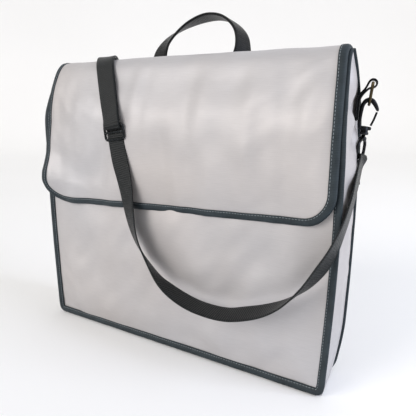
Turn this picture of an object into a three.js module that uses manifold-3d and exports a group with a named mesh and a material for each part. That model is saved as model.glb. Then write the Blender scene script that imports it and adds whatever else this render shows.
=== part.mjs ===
// A fire-resistant battery bag with a full-width flap, bound seams, a carry handle and a clip-on sling.
// Millimetres, +Z up, front towards -Y, +X to the right of someone facing the front.
import * as THREE from "three";
import { mergeVertices } from "three/addons/utils/BufferGeometryUtils.js";
import Module from "manifold-3d";

// ---- Driving dimensions ----
const WIDTH = 402; // outside of one gusset to outside of the other
const RIDGE_Z = 360; // floor to the top of the folded flap
const FRONT_Y = -30.8; // front panel's outer face
const BACK_Y = 38; // back panel's outer face at its fullest
const FOOT_Y = 20; // back edge of the flat bottom
const MOUTH_Z = 332; // front panel's top edge, under the flap
const SHELL = 1.0; // woven outer cloth
const PADDING = 2.4; // insulating felt
const LINING = 0.8; // inner cloth
const BOARD = 2.0; // stiffener laid in the bottom
const GAP = 0.3; // clearance kept between pieces that touch
const TAPE_WIDTH = 8.5; // visible width of the folded binding tape
const TAPE_PROUD = 3.1; // height of a bound seam above the cloth
const TAPE_CLOTH = 0.7; // thickness of the tape itself
const WEBBING = 25; // width of all the webbing
const WEB = 1.8; // thickness of one layer of webbing
const WIRE = 1.5; // radius of the D-rings' wire
const CENTRE_Y = 11.2; // middle of the bag's depth, where the origin stands

const HALF = WIDTH / 2;
const WALL = SHELL + PADDING + LINING + 2 * GAP;
const PAD_IN = SHELL + GAP; // depth at which the felt starts
const LINING_IN = WALL - LINING; // depth at which the lining starts
const FAR = 100; // past the bag's front and back faces
const ABOVE = 400; // past the top of everything
const ROUNDING = 0.45; // where a quarter turn's control points stand, as a part of its radius

// Side profiles of the outer faces as [y, z], from the bottom up.
const FRONT_LINE = [[FRONT_Y, 0], [FRONT_Y, 283], [-24.2, 306], [-12.5, MOUTH_Z]];
const BACK_LINE = [[FOOT_Y, 0], [34, 48], [BACK_Y, 108], [BACK_Y, 290], [26, 335], [9.5, 354.9]];
const GUSSET_TOP = [[-5.9, 346.8], [3, 353.6]];
const BODY_PROFILE = [...FRONT_LINE, ...GUSSET_TOP, ...[...BACK_LINE].reverse()];

// The flap's outer face, from its hinge line on the ridge down over the front.
const HINGE_Y = 9.5;
const FLAP_Y = FRONT_Y - 8.8;
const FLAP_LINE = [
  [HINGE_Y - GAP, RIDGE_Z], [1, RIDGE_Z], [-13.5, 352.5], [-32.4, 309], [FLAP_Y, 285], [FLAP_Y, 150],
];
const FLAP = { left: -199, right: 202, lowLeft: 171, lowRight: 187, corner: 34 };

// ---- Solids from closed geometries, and their cuts and joins ----
const wasm = await Module();
wasm.setup();

function solidOf(geometry) {
  const bare = geometry.clone();
  bare.deleteAttribute("normal");
  bare.deleteAttribute("uv");
  const merged = mergeVertices(bare, 1e-4);
  return new wasm.Manifold(new wasm.Mesh({
    numProp: 3,
    vertProperties: new Float32Array(merged.attributes.position.array),
    triVerts: new Uint32Array(merged.index.array),
  }));
}

function geometryOf(solid) {
  const mesh = solid.getMesh();
  const geometry = new THREE.BufferGeometry();
  geometry.setAttribute("position", new THREE.BufferAttribute(new Float32Array(mesh.vertProperties), 3));
  geometry.setIndex(new THREE.BufferAttribute(new Uint32Array(mesh.triVerts), 1));
  return geometry;
}

const common = (a, b) => geometryOf(solidOf(a).intersect(solidOf(b)));
const without = (a, b) => geometryOf(solidOf(a).subtract(solidOf(b)));
const joined = (...parts) => geometryOf(parts.map(solidOf).reduce((sum, solid) => sum.add(solid)));

// ---- Shared shapes ----
const axis = (x, y, z) => new THREE.Vector3(x, y, z);
const SIDE_VIEW = new THREE.Matrix4().makeBasis(axis(0, 1, 0), axis(0, 0, 1), axis(1, 0, 0));
const FRONT_VIEW = new THREE.Matrix4().makeBasis(axis(1, 0, 0), axis(0, 0, 1), axis(0, -1, 0));
const CURVE_STEPS = 8;

const shapeOf = (points) => new THREE.Shape(points.map(([a, b]) => new THREE.Vector2(a, b)));

function drawnOut(outline, depth) {
  const shape = outline instanceof THREE.Shape ? outline : shapeOf(outline);
  return new THREE.ExtrudeGeometry(shape, { depth, bevelEnabled: false, curveSegments: CURVE_STEPS });
}

// A [y, z] outline drawn out from x0 to x1.
const acrossX = (outline, x0, x1) => drawnOut(outline, x1 - x0).translate(0, 0, x0).applyMatrix4(SIDE_VIEW);

// An [x, z] outline drawn out from the front face y0 to the back face y1.
const alongY = (outline, y0, y1) => drawnOut(outline, y1 - y0).translate(0, 0, -y1).applyMatrix4(FRONT_VIEW);

function rightOf([a0, b0], [a1, b1]) {
  const length = Math.hypot(a1 - a0, b1 - b0);
  return [(b1 - b0) / length, (a0 - a1) / length];
}

// A line moved sideways by d with mitred corners, to the right of its direction when d is positive.
function offsetLine(line, d, closed = false) {
  const last = line.length - 1;
  return line.map(([a, b], i) => {
    const normals = [];
    if (i > 0 || closed) normals.push(rightOf(line[i > 0 ? i - 1 : last], line[i]));
    if (i < last || closed) normals.push(rightOf(line[i], line[i < last ? i + 1 : 0]));
    const [sumA, sumB] = normals.reduce(([u, v], [nu, nv]) => [u + nu, v + nv], [0, 0]);
    const reach = (normals.length * d) / (sumA * sumA + sumB * sumB);
    return [a + sumA * reach, b + sumB * reach];
  });
}

// The band between two offsets of one line.
const band = (line, d0, d1) => [...offsetLine(line, d0), ...offsetLine(line, d1).reverse()];

// The line with its first point moved up its first stretch to the height z.
function raised(line, z) {
  const [[a0, b0], [a1, b1]] = line;
  return [[a0 + ((a1 - a0) * (z - b0)) / (b1 - b0), z], ...line.slice(1)];
}

// The bag's closed side profile pulled in by d, with its floor at the height z.
function insetProfile(d, z = d) {
  const line = offsetLine(BODY_PROFILE, d, true);
  line[0][1] = z;
  line[line.length - 1][1] = z;
  return line;
}

// A U of tape with rounded lower corners, open at the top: its outer edges, its width and its top.
function tapeU({ left, right, lowLeft, lowRight, corner }, width, top) {
  const shape = uOutline(left, right, lowLeft, lowRight, corner, top);
  const inner = uOutline(
    left + width, right - width, lowLeft + width, lowRight + width, Math.max(corner - width, 1), top);
  return without(alongY(shape, -FAR, FAR), alongY(inner, -FAR - 1, FAR + 1));
}

function uOutline(left, right, lowLeft, lowRight, corner, top) {
  const bend = corner * ROUNDING;
  const shape = new THREE.Shape();
  shape.moveTo(right, top);
  shape.lineTo(left, top);
  shape.lineTo(left, lowLeft + corner);
  shape.bezierCurveTo(left, lowLeft + bend, left + bend, lowLeft, left + corner, lowLeft);
  shape.lineTo(right - corner, lowRight);
  shape.bezierCurveTo(right - bend, lowRight, right, lowRight + bend, right, lowRight + corner);
  shape.closePath();
  return shape;
}

// A smooth bar or tube of the given section along points.
function along(points, section, steps) {
  const curve = new THREE.CatmullRomCurve3(points.map((p) => axis(...p)), false, "centripetal");
  return new THREE.ExtrudeGeometry(section, { extrudePath: curve, steps, bevelEnabled: false });
}

function roundSection(radius, sides) {
  const turn = (2 * Math.PI) / sides;
  return shapeOf(Array.from({ length: sides }, (_, i) => [radius * Math.cos(i * turn), radius * Math.sin(i * turn)]));
}

const block = (x0, x1, y0, y1, z0, z1) =>
  new THREE.BoxGeometry(x1 - x0, y1 - y0, z1 - z0).translate((x0 + x1) / 2, (y0 + y1) / 2, (z0 + z1) / 2);

// ---- Finishes ----
const finish = (color, roughness, metalness) => () => new THREE.MeshStandardMaterial({ color, roughness, metalness });
const SILVER_CLOTH = finish("#c9c4c4", 0.55, 0.15);
const FELT = finish("#e4e0d6", 0.95, 0);
const LINING_CLOTH = finish("#b9b9bd", 0.6, 0.1);
const TAPE = finish("#3a444b", 0.7, 0);
const WEB_CLOTH = finish("#45474a", 0.65, 0);
const HANDLE_CLOTH = finish("#1e2226", 0.6, 0);
const BOARD_PLASTIC = finish("#2c2e30", 0.6, 0);
const HOOK_TAPE = finish("#2a2d30", 0.9, 0);
const GUNMETAL = finish("#3c3b3d", 0.35, 1);
const RING_METAL = finish("#6d6150", 0.35, 1);

const bag = new THREE.Group();
bag.position.y = -CENTRE_Y;

function add(name, geometry, material, parent = bag) {
  const mesh = new THREE.Mesh(geometry, material());
  mesh.name = name;
  parent.add(mesh);
  return mesh;
}

// ---- Body: outer cloth, felt and lining ----
const clothHalf = HALF - SHELL - GAP;
const feltHalf = clothHalf - PADDING - GAP;
const feltSpan = [PAD_IN, PAD_IN + PADDING];
const floorFelt = PAD_IN + PADDING;
const footSlope = 1.5; // how far the sloping back wall reaches in over the bottom
const boardZ = floorFelt + GAP;
const liningFloor = boardZ + BOARD + GAP;

add("front_panel", acrossX(band(FRONT_LINE, 0, SHELL), -clothHalf, clothHalf), SILVER_CLOTH);
add("back_panel", acrossX(band(BACK_LINE, -SHELL, 0), -clothHalf, clothHalf), SILVER_CLOTH);
add("bottom_panel", block(-clothHalf, clothHalf, FRONT_Y + PAD_IN, FOOT_Y - footSlope, 0, SHELL), SILVER_CLOTH);
add("front_padding", acrossX(band(raised(FRONT_LINE, PAD_IN), ...feltSpan), -feltHalf, feltHalf), FELT);
add("back_padding",
  acrossX(band(raised(BACK_LINE, PAD_IN), ...feltSpan.map((d) => -d)), -feltHalf, feltHalf), FELT);
add("bottom_padding",
  block(-feltHalf, feltHalf, FRONT_Y + LINING_IN, FOOT_Y - LINING_IN - footSlope, PAD_IN, floorFelt), FELT);
add("base_board",
  block(-feltHalf + 1, feltHalf - 1, FRONT_Y + LINING_IN + 1, FOOT_Y - LINING_IN - 1, boardZ, boardZ + BOARD),
  BOARD_PLASTIC);
for (const [side, name] of [[-1, "left"], [1, "right"]]) {
  const span = (a, b) => (side > 0 ? [a, b] : [-b, -a]);
  add(`${name}_gusset`, acrossX(BODY_PROFILE, ...span(HALF - SHELL, HALF)), SILVER_CLOTH);
  add(`${name}_gusset_padding`,
    acrossX(insetProfile(PAD_IN), ...span(clothHalf - PADDING, clothHalf)), FELT);
}

// The lining is one sewn bag, open at the mouth.
const liningHalf = feltHalf;
const liningCore = offsetLine(BODY_PROFILE, WALL, true);
const frontInner = liningCore.slice(0, FRONT_LINE.length);
const backInner = liningCore.slice(FRONT_LINE.length + GUSSET_TOP.length);
frontInner[0][1] = liningFloor + LINING;
backInner[backInner.length - 1][1] = liningFloor + LINING;
const mouthFrontZ = frontInner[frontInner.length - 1][1];
const liningHollow = [
  ...frontInner, [-FAR, mouthFrontZ], [-FAR, ABOVE], [backInner[0][0], ABOVE], ...backInner,
];
add("lining",
  without(
    acrossX(insetProfile(LINING_IN, liningFloor), -liningHalf, liningHalf),
    acrossX(liningHollow, -liningHalf + LINING, liningHalf - LINING)),
  LINING_CLOTH);

// ---- Binding tape over the seams and the mouth ----
const seamOut = 1.5; // how far a bound seam stands out past the gusset
const seamFrame = { left: -HALF - seamOut, right: HALF + seamOut, lowLeft: 0, lowRight: 0, corner: 9 };
const seamSpan = [seamFrame.left - 1, seamFrame.right + 1];
const frontSeamLine = [...FRONT_LINE, GUSSET_TOP[0]];
add("front_seam_binding",
  common(acrossX(band(frontSeamLine, -GAP - TAPE_PROUD, -GAP), ...seamSpan), tapeU(seamFrame, TAPE_WIDTH, ABOVE)),
  TAPE);
add("back_seam_binding",
  common(acrossX(band(BACK_LINE, GAP, GAP + TAPE_PROUD), ...seamSpan), tapeU(seamFrame, TAPE_WIDTH, ABOVE)),
  TAPE);
// The mouth's tape is a staple section folded down both sides of the front panel's top edge.
const edgeEnd = FRONT_LINE[FRONT_LINE.length - 1];
const edgeStart = FRONT_LINE[FRONT_LINE.length - 2];
const edgeLength = Math.hypot(edgeEnd[0] - edgeStart[0], edgeEnd[1] - edgeStart[1]);
const onEdge = (s) => edgeEnd.map((value, i) => value + ((value - edgeStart[i]) * s) / edgeLength);
const staple = [
  ...offsetLine([onEdge(-TAPE_WIDTH), onEdge(GAP + TAPE_CLOTH)], -GAP - TAPE_CLOTH),
  ...offsetLine([onEdge(-TAPE_WIDTH), onEdge(GAP + TAPE_CLOTH)], WALL + GAP + TAPE_CLOTH).reverse(),
  ...offsetLine([onEdge(-TAPE_WIDTH), onEdge(GAP)], WALL + GAP),
  ...offsetLine([onEdge(-TAPE_WIDTH), onEdge(GAP)], -GAP).reverse(),
];
const mouthHalf = HALF - TAPE_WIDTH - WALL;
add("mouth_binding", acrossX(staple, -mouthHalf, mouthHalf), TAPE);

// ---- Flap: the same laminate, bound on three sides ----
const flapSpan = [FLAP.left - 5, FLAP.right + 5];
const insideTape = alongY(
  uOutline(
    FLAP.left + TAPE_WIDTH + GAP, FLAP.right - TAPE_WIDTH - GAP, FLAP.lowLeft + TAPE_WIDTH + GAP,
    FLAP.lowRight + TAPE_WIDTH + GAP, FLAP.corner - TAPE_WIDTH, ABOVE),
  -FAR, FAR);
const flapLayer = (outer, inner) => common(acrossX(band(FLAP_LINE, -outer, -inner), ...flapSpan), insideTape);
add("flap_cover", flapLayer(0, SHELL), SILVER_CLOTH);
add("flap_padding", flapLayer(...feltSpan), FELT);
add("flap_lining", flapLayer(LINING_IN, WALL), LINING_CLOTH);
add("flap_binding",
  common(acrossX(band(FLAP_LINE, TAPE_CLOTH, -WALL), ...flapSpan), tapeU(FLAP, TAPE_WIDTH, ABOVE)), TAPE);

// ---- Hook-and-loop closure between the flap and the front panel ----
const closure = { half: 120, low: 205, high: 230, thick: 1.5 };
const loopFront = FRONT_Y - GAP - closure.thick;
const hookBack = FLAP_Y + WALL + GAP + closure.thick;
add("closure_loop_strip",
  block(-closure.half, closure.half, loopFront, FRONT_Y - GAP, closure.low, closure.high), HOOK_TAPE);
add("closure_hook_strip",
  block(-closure.half, closure.half, FLAP_Y + WALL + GAP, hookBack, closure.low, closure.high), HOOK_TAPE);

// ---- Carry handle: webbing sewn to the back panel, leaning back from its stitching ----
const HANDLE = { middle: 2, span: 118, footY: 31.4, footZ: 333.5, lean: 19.5, rise: 88, topWidth: 13 };
const sewnStretch = [[37.2, 293], [26.9, 331.6]]; // along the back panel
const archRound = 0.62; // how square the arch's shoulders are
for (const [side, name] of [[-1, "left"], [1, "right"]]) {
  const x = HANDLE.middle + (side * HANDLE.span) / 2;
  add(`handle_${name}_end`,
    acrossX(band(sewnStretch, GAP, GAP + WEB), x - WEBBING / 2, x + WEBBING / 2), HANDLE_CLOTH);
}
const handleOutline = new THREE.Shape();
const legOut = HANDLE.span / 2 + WEBBING / 2;
const legIn = HANDLE.span / 2 - WEBBING / 2;
const archTop = HANDLE.rise - HANDLE.topWidth;
handleOutline.moveTo(-legOut, 0);
handleOutline.lineTo(-legIn, 0);
handleOutline.bezierCurveTo(-legIn, archTop * archRound, -legIn * archRound, archTop, 0, archTop);
handleOutline.bezierCurveTo(legIn * archRound, archTop, legIn, archTop * archRound, legIn, 0);
handleOutline.lineTo(legOut, 0);
handleOutline.bezierCurveTo(legOut, HANDLE.rise * archRound, legOut * archRound, HANDLE.rise, 0, HANDLE.rise);
handleOutline.bezierCurveTo(-legOut * archRound, HANDLE.rise, -legOut, HANDLE.rise * archRound, -legOut, 0);
const handle = add("carry_handle", drawnOut(handleOutline, 2 * WEB).translate(0, 0, -WEB), HANDLE_CLOTH);
handle.rotation.x = THREE.MathUtils.degToRad(90 - HANDLE.lean);
handle.position.set(HANDLE.middle, HANDLE.footY, HANDLE.footZ);

// ---- Sling hardware at each gusset ----
// In the right-hand frame u points away from the bag, v along the ring's bar and w up the hook's axis.
const HOOK_AT = axis(210.5, 27, 277.7);
const HOOK_TURN = 12.4; // degrees about Z
const HOOK_TILT = 6; // degrees that the hook's axis leans outwards
const RING = { barW: 46.8, lowW: 25.9, half: 12.5 };
const EYE = { topW: -9, lowW: -28, half: 13.5, wire: 1.7, turn: -14 };

function ringGeometry() {
  const steps = 12;
  const drop = RING.barW - RING.lowW;
  const arc = Array.from({ length: steps + 1 }, (_, i) => {
    const angle = (Math.PI * i) / steps;
    return [0, RING.half * Math.cos(angle), RING.barW - drop * Math.sin(angle)];
  });
  const bar = [[0, -RING.half - WIRE * 0.6, RING.barW], [0, RING.half + WIRE * 0.6, RING.barW]];
  return joined(along(arc, roundSection(WIRE, 8), 24), along(bar, roundSection(WIRE, 8), 1));
}

function eyeGeometry() {
  const { topW, lowW, half, wire } = EYE;
  const loop = [
    [0, -2, topW + 1.5], [0, -8, topW], [0, -half, topW - 6], [0, -half, lowW + 2.5], [0, -half + 2.5, lowW],
    [0, half - 2.5, lowW], [0, half, lowW + 2.5], [0, half, topW - 6], [0, 8, topW], [0, 2, topW + 1.5],
  ];
  const neck = lathe([[0, topW - 1.2], [3.6, topW - 1.2], [3.6, topW + 2.4], [2, topW + 3.4], [2, -4.6], [0, -4.6]]);
  return joined(along(loop, roundSection(wire, 8), 34), neck).rotateZ(THREE.MathUtils.degToRad(EYE.turn));
}

function lathe(profile, sides = 16) {
  const geometry = new THREE.LatheGeometry(profile.map(([r, z]) => new THREE.Vector2(r, z)), sides);
  return geometry.applyMatrix4(new THREE.Matrix4().makeBasis(axis(0, 1, 0), axis(0, 0, 1), axis(1, 0, 0)));
}

function hookGeometry() {
  const spine = [
    [-4.6, 0, 2.5], [-6, 0, 7], [-6.2, 0, 14], [-6.1, 0, 22], [-4.7, 0, 28], [-1, 0, 30.6], [3, 0, 29.2],
    [6, 0, 25.8], [9.2, 0, 21.5],
  ];
  const collar = lathe([[0, -4.2], [4.6, -4.2], [4.6, -1.4], [3.6, -0.6], [3.6, 4], [0, 4]]);
  const shoulder = along([[-5.2, 0, 2.2], [2.4, 0, 2.2]], roundSection(1.9, 8), 1);
  return joined(along(spine, roundSection(1.95, 8), 26), shoulder, collar);
}

const gateGeometry = () => along([[5.2, 0, 5.4], [6.9, 0, 11], [8.7, 0, 19.4]], roundSection(1.1, 8), 6);

function tabGeometry() {
  const bar = RING.barW;
  const outer = WIRE + 0.6 + WEB;
  const loop = new THREE.Shape();
  loop.absarc(0, bar, outer, -0.35 * Math.PI, 1.25 * Math.PI, false);
  loop.lineTo(-11.5, bar - 17);
  loop.lineTo(-9.2, bar - 20);
  loop.closePath();
  const hole = new THREE.Path();
  hole.absarc(0, bar, WIRE + 0.6, 0, 2 * Math.PI, true);
  loop.holes.push(hole);
  const half = RING.half - WIRE - 1;
  return drawnOut(loop, 2 * half).translate(0, 0, -half).applyMatrix4(FRONT_VIEW);
}

// The tab's loop stands off a patch of the same webbing sewn flat on the gusset.
const TAB_Y = 19;
const TAB_PATCH = block(HALF + GAP, HALF + GAP + WEB, TAB_Y - WEBBING / 2, TAB_Y + WEBBING / 2, 286, 309);
const GUSSET_SIDE = joined(
  block(HALF - 40, HALF + GAP, -60, 90, 200, 400), block(HALF - 40, HALF + 2, 26, 90, 200, 400));

for (const [side, name] of [[-1, "left"], [1, "right"]]) {
  const mirror = new THREE.Group();
  mirror.scale.x = side;
  const frame = new THREE.Group();
  frame.position.copy(HOOK_AT);
  frame.rotation.set(0, THREE.MathUtils.degToRad(HOOK_TILT), THREE.MathUtils.degToRad(HOOK_TURN), "ZYX");
  frame.updateMatrix();
  mirror.add(frame);
  bag.add(mirror);
  const tabLoop = without(tabGeometry().applyMatrix4(frame.matrix), GUSSET_SIDE);
  add(`${name}_ring_tab`, joined(tabLoop, TAB_PATCH), WEB_CLOTH, mirror);
  add(`${name}_d_ring`, ringGeometry(), RING_METAL, frame);
  add(`${name}_hook`, hookGeometry(), GUNMETAL, frame);
  add(`${name}_hook_gate`, gateGeometry(), GUNMETAL, frame);
  add(`${name}_hook_eye`, eyeGeometry(), GUNMETAL, frame);
}

// ---- Sling: one length of webbing from eye to eye, with its slider on the flap ----
// The webbing's own solids are plain tubes of about the webbing's cross-section along its middle line.
const SLIDER = { x: -67, y: FLAP_Y - 4, z: 271, slant: 8, half: 16.5, tall: 21, thick: 2.4, corner: 4 };
const BARS = [[7, 10.5], [-1.75, 1.75], [-10.5, -7]]; // each bar's span along the webbing

const sliderFrame = new THREE.Group();
sliderFrame.position.set(SLIDER.x, SLIDER.y, SLIDER.z);
sliderFrame.rotation.set(Math.PI / 2, THREE.MathUtils.degToRad(-SLIDER.slant), 0, "YXZ");
bag.add(sliderFrame);

function sliderGeometry() {
  const { half, tall, thick, corner } = SLIDER;
  const shape = new THREE.Shape();
  shape.absarc(half - corner, tall / 2 - corner, corner, 0, Math.PI / 2, false);
  shape.absarc(corner - half, tall / 2 - corner, corner, Math.PI / 2, Math.PI, false);
  shape.absarc(corner - half, corner - tall / 2, corner, Math.PI, 1.5 * Math.PI, false);
  shape.absarc(half - corner, corner - tall / 2, corner, 1.5 * Math.PI, 2 * Math.PI, false);
  const slotHalf = WEBBING / 2 + 0.7;
  for (const [low, high] of [[BARS[1][1], BARS[0][0]], [BARS[2][1], BARS[1][0]]]) {
    const slot = [[-slotHalf, low], [-slotHalf, high], [slotHalf, high], [slotHalf, low]];
    shape.holes.push(new THREE.Path(slot.map(([a, b]) => new THREE.Vector2(a, b))));
  }
  return drawnOut(shape, thick).translate(0, 0, -thick / 2);
}

// Seen from the side, the webbing goes over the top bar and behind the other two.
const weave = [[2.6, 14], [2.6, 6.2], [-2.6, 2.6], [-2.6, -14]];
const weaveGeometry = drawnOut(band(weave, -WEB / 2, WEB / 2), WEBBING)
  .translate(0, 0, -WEBBING / 2)
  .applyMatrix4(new THREE.Matrix4().makeBasis(axis(0, 0, 1), axis(0, 1, 0), axis(-1, 0, 0)));
add("sling_slider", sliderGeometry(), GUNMETAL, sliderFrame);
add("sling_slider_weave", weaveGeometry, WEB_CLOTH, sliderFrame);

const SINGLE = roundSection(3.5, 8);
const DOUBLED = roundSection(4, 8);
const lowerLoop = [
  [-53.5, -46.8, 220], [-49.8, -47.5, 204], [-46, -48.3, 188], [-41.5, -50, 171], [-36, -51.5, 154],
  [-27, -53.5, 138], [-12.5, -56, 121.5], [4, -58, 105], [20, -59.3, 95], [38, -60.3, 87.5], [58, -61, 82.5],
  [80, -61.3, 80.8], [99, -61.3, 82], [117, -61, 86.7], [142, -61, 96.4], [164, -60, 109.5],
  [184, -57.5, 128.5], [198, -52.5, 149], [207, -44.5, 168.5], [211.5, -31, 188], [213, -14, 208],
  [212.5, 3, 226], [209.5, 19, 240],
];
const overFlap = [
  [-114, -3, 364.3], [-99.5, -17.6, 356.4], [-90.5, -27.4, 333], [-78.5, -37.2, 309.5], [-70.6, -43.9, 293],
];
const backRun = [
  [-119, 10, 364.5], [-126, 22, 356], [-138, 35, 338], [-151, 45, 310], [-165, 48.5, 278],
  [-181, 51, 253], [-198, 52, 237], [-210, 46, 229], [-214, 36, 230], [-211.5, 28, 239],
];
add("sling_lower_loop", along(lowerLoop, SINGLE, 60), WEB_CLOTH);
add("sling_over_flap", along(overFlap, DOUBLED, 12), WEB_CLOTH);
add("sling_back_run", along(backRun, DOUBLED, 24), WEB_CLOTH);

export default bag;
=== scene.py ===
import math

import bmesh
import bpy
import numpy as np
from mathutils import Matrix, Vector, noise


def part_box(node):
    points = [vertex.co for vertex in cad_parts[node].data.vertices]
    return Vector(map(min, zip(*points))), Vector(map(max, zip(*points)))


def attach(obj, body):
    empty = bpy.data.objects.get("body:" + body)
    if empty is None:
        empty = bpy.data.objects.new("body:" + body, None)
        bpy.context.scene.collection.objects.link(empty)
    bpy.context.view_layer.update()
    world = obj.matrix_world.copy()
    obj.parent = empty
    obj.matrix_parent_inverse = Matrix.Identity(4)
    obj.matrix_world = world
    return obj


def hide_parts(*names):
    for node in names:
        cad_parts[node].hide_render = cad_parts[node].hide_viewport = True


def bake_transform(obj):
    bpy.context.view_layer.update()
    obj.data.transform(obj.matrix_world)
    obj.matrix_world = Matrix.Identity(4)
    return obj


# A padded, fire-resistant battery bag: silver cloth bound in dark tape, with a flap, a handle and a sling.
# Lengths are in millimetres until a mesh is made. X is across the bag, -Y is its front and Z is up.
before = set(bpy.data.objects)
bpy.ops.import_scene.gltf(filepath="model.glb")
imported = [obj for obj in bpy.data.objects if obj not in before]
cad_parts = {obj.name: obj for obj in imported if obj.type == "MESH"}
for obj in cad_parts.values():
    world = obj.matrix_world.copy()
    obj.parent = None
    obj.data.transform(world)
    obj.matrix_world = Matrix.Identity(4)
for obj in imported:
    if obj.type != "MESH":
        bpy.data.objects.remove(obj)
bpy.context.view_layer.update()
MM = 0.001


# ---- Camera ----
# A low three-quarter view from the front right, close enough for the near side to look larger.
camera_data = bpy.data.cameras.new("camera")
camera_data.sensor_width = 36
camera_data.lens = 38.86
camera = bpy.data.objects.new("camera", camera_data)
camera.location = (0.3165, -0.4651, 0.3038)
camera.rotation_euler = (math.radians(77), 0, math.radians(31.38))
bpy.context.scene.collection.objects.link(camera)
bpy.context.scene.camera = camera


# ---- Sling ----
# One length of 25 mm nylon webbing, clipped to both gussets. It is doubled from the slider on the flap
# over the ridge to the left hook, and hangs single from the slider to the right hook.
def add_node(tree, kind, inputs=(), **settings):
    """A node of that kind with its settings, and with values or links on its input sockets."""
    made = tree.nodes.new(kind)
    for name, value in settings.items():
        setattr(made, name, value)
    for socket, value in dict(inputs).items():
        if isinstance(value, bpy.types.NodeSocket):
            tree.links.new(value, made.inputs[socket])
        else:
            made.inputs[socket].default_value = value
    return made


def colour(hex_value):
    """An sRGB hex colour as linear RGBA."""
    parts = [int(hex_value[i : i + 2], 16) / 255 for i in (1, 3, 5)]
    return (*[c / 12.92 if c <= 0.04045 else ((c + 0.055) / 1.055) ** 2.4 for c in parts], 1)


def surface(name, **settings):
    """A new material: its tree and its Principled shader, with the shader's uniform values set."""
    material = bpy.data.materials.new(name)
    material.use_nodes = True
    tree = material.node_tree
    shader = tree.nodes["Principled BSDF"]
    for socket, value in settings.items():
        shader.inputs[socket.replace("_", " ")].default_value = value
    return material, tree, shader


def ribs(tree, vector, pitch, direction, distortion=0.0):
    """Waves from 0 to 1 that repeat every pitch millimetres along the map's X or Y."""
    waves_per_unit = 2 * math.pi / (20 * pitch * MM)
    return add_node(
        tree, "ShaderNodeTexWave", {"Vector": vector, "Scale": waves_per_unit, "Distortion": distortion},
        wave_type="BANDS", bands_direction=direction).outputs["Fac"]


def grain(tree, vector, size, detail=3.0, stretch=(1, 1, 1)):
    """Noise whose patches are about size millimetres across, stretched along the axes."""
    scaled = add_node(tree, "ShaderNodeMapping", {"Vector": vector, "Scale": tuple(1 / s for s in stretch)})
    return add_node(
        tree, "ShaderNodeTexNoise",
        {"Vector": scaled.outputs[0], "Scale": 1 / (size * MM), "Detail": detail}).outputs["Fac"]


def between(tree, factor, low, high):
    """A colour from low to high, as the factor goes from 0 to 1."""
    ramp = add_node(tree, "ShaderNodeValToRGB", {"Fac": factor})
    ramp.color_ramp.elements[0].color = colour(low)
    ramp.color_ramp.elements[1].color = colour(high)
    return ramp.outputs[0]


def mixed(tree, factor, first, second, kind="MIX"):
    """Two colours mixed by the factor."""
    return add_node(
        tree, "ShaderNodeMix", {0: factor, 6: first, 7: second}, data_type="RGBA", blend_type=kind).outputs[2]


def sum_of(tree, first, second, weight):
    """first + second x weight."""
    return add_node(
        tree, "ShaderNodeMath", {0: second, 1: weight, 2: first}, operation="MULTIPLY_ADD").outputs[0]


def raise_by(tree, shader, height, depth, strength=1.0):
    """A bump of that many millimetres on the shader."""
    bump = add_node(tree, "ShaderNodeBump", {"Height": height, "Distance": depth * MM, "Strength": strength})
    tree.links.new(bump.outputs[0], shader.inputs["Normal"])


def woven_map(tree):
    """The piece's own map, in metres across and along the cloth."""
    return add_node(tree, "ShaderNodeUVMap", uv_map="cloth").outputs[0]


def nylon_webbing(name, dark, light, gloss):
    """Woven nylon tape: cross ribs, a fine warp over them, and a soft sheen where it turns."""
    material, tree, shader = surface(
        name, Roughness=gloss, Sheen_Weight=0.03, Sheen_Roughness=0.3, Sheen_Tint=colour("#a9b4b2"),
        Specular_IOR_Level=0.16)
    place = woven_map(tree)
    cross = ribs(tree, place, 2.6, "Y", 0.6)
    warp = ribs(tree, place, 1.3, "X")  # warp yarns are 0.5 mm apart; drawn coarser so that they show
    weave = sum_of(tree, cross, warp, 0.45)
    patches = grain(tree, place, 14, 4)
    height = sum_of(tree, weave, patches, 0.4)
    spread = add_node(tree, "ShaderNodeMapRange", {"Value": height, "From Max": 1.6}).outputs[0]
    tree.links.new(between(tree, spread, dark, light), shader.inputs["Base Color"])
    raise_by(tree, shader, weave, 0.28, 0.8)
    return material


def through(rows, step):
    """Rows of numbers, of which the first three are a point, on one smooth line and a step apart."""
    rows = np.array(rows, float)
    ends = np.vstack([2 * rows[0] - rows[1], rows, 2 * rows[-1] - rows[-2]])
    fine = []
    for i in range(1, len(ends) - 2):
        a, b, c, d = ends[i - 1 : i + 3]
        for t in np.arange(0, 1, 1 / 16):
            fine.append(0.5 * (
                2 * b + (c - a) * t
                + (2 * a - 5 * b + 4 * c - d) * t**2
                + (3 * b - a - 3 * c + d) * t**3))
    fine = np.array([*fine, rows[-1]])
    gaps = np.linalg.norm(np.diff(fine[:, :3], axis=0), axis=1)
    along = np.concatenate([[0], np.cumsum(gaps)])
    at = np.linspace(0, along[-1], max(2, round(along[-1] / step)) + 1)
    return np.stack([np.interp(at, along, column) for column in fine.T], axis=1)


def mesh_piece(name, points, faces, materials, uvs=None, face_materials=None):
    """A smooth-shaded object from points in millimetres, with a map in metres at each face's corners."""
    mesh = bpy.data.meshes.new(name)
    mesh.from_pydata([[c * MM for c in p] for p in points], [], faces)
    for material in materials:
        mesh.materials.append(material)
    if uvs is not None:
        layer = mesh.uv_layers.new(name="cloth")
        layer.data.foreach_set("uv", [c * MM for face in uvs for corner in face for c in corner])
    if face_materials is not None:
        mesh.polygons.foreach_set("material_index", face_materials)
    mesh.polygons.foreach_set("use_smooth", [True] * len(mesh.polygons))
    piece = bpy.data.objects.new(name, mesh)
    bpy.context.scene.collection.objects.link(piece)
    return piece


def ease(t):
    t = min(max(t, 0), 1)
    return t * t * (3 - 2 * t)


def unit(v):
    return v / np.maximum(np.linalg.norm(v, axis=-1, keepdims=True), 1e-9)


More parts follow.
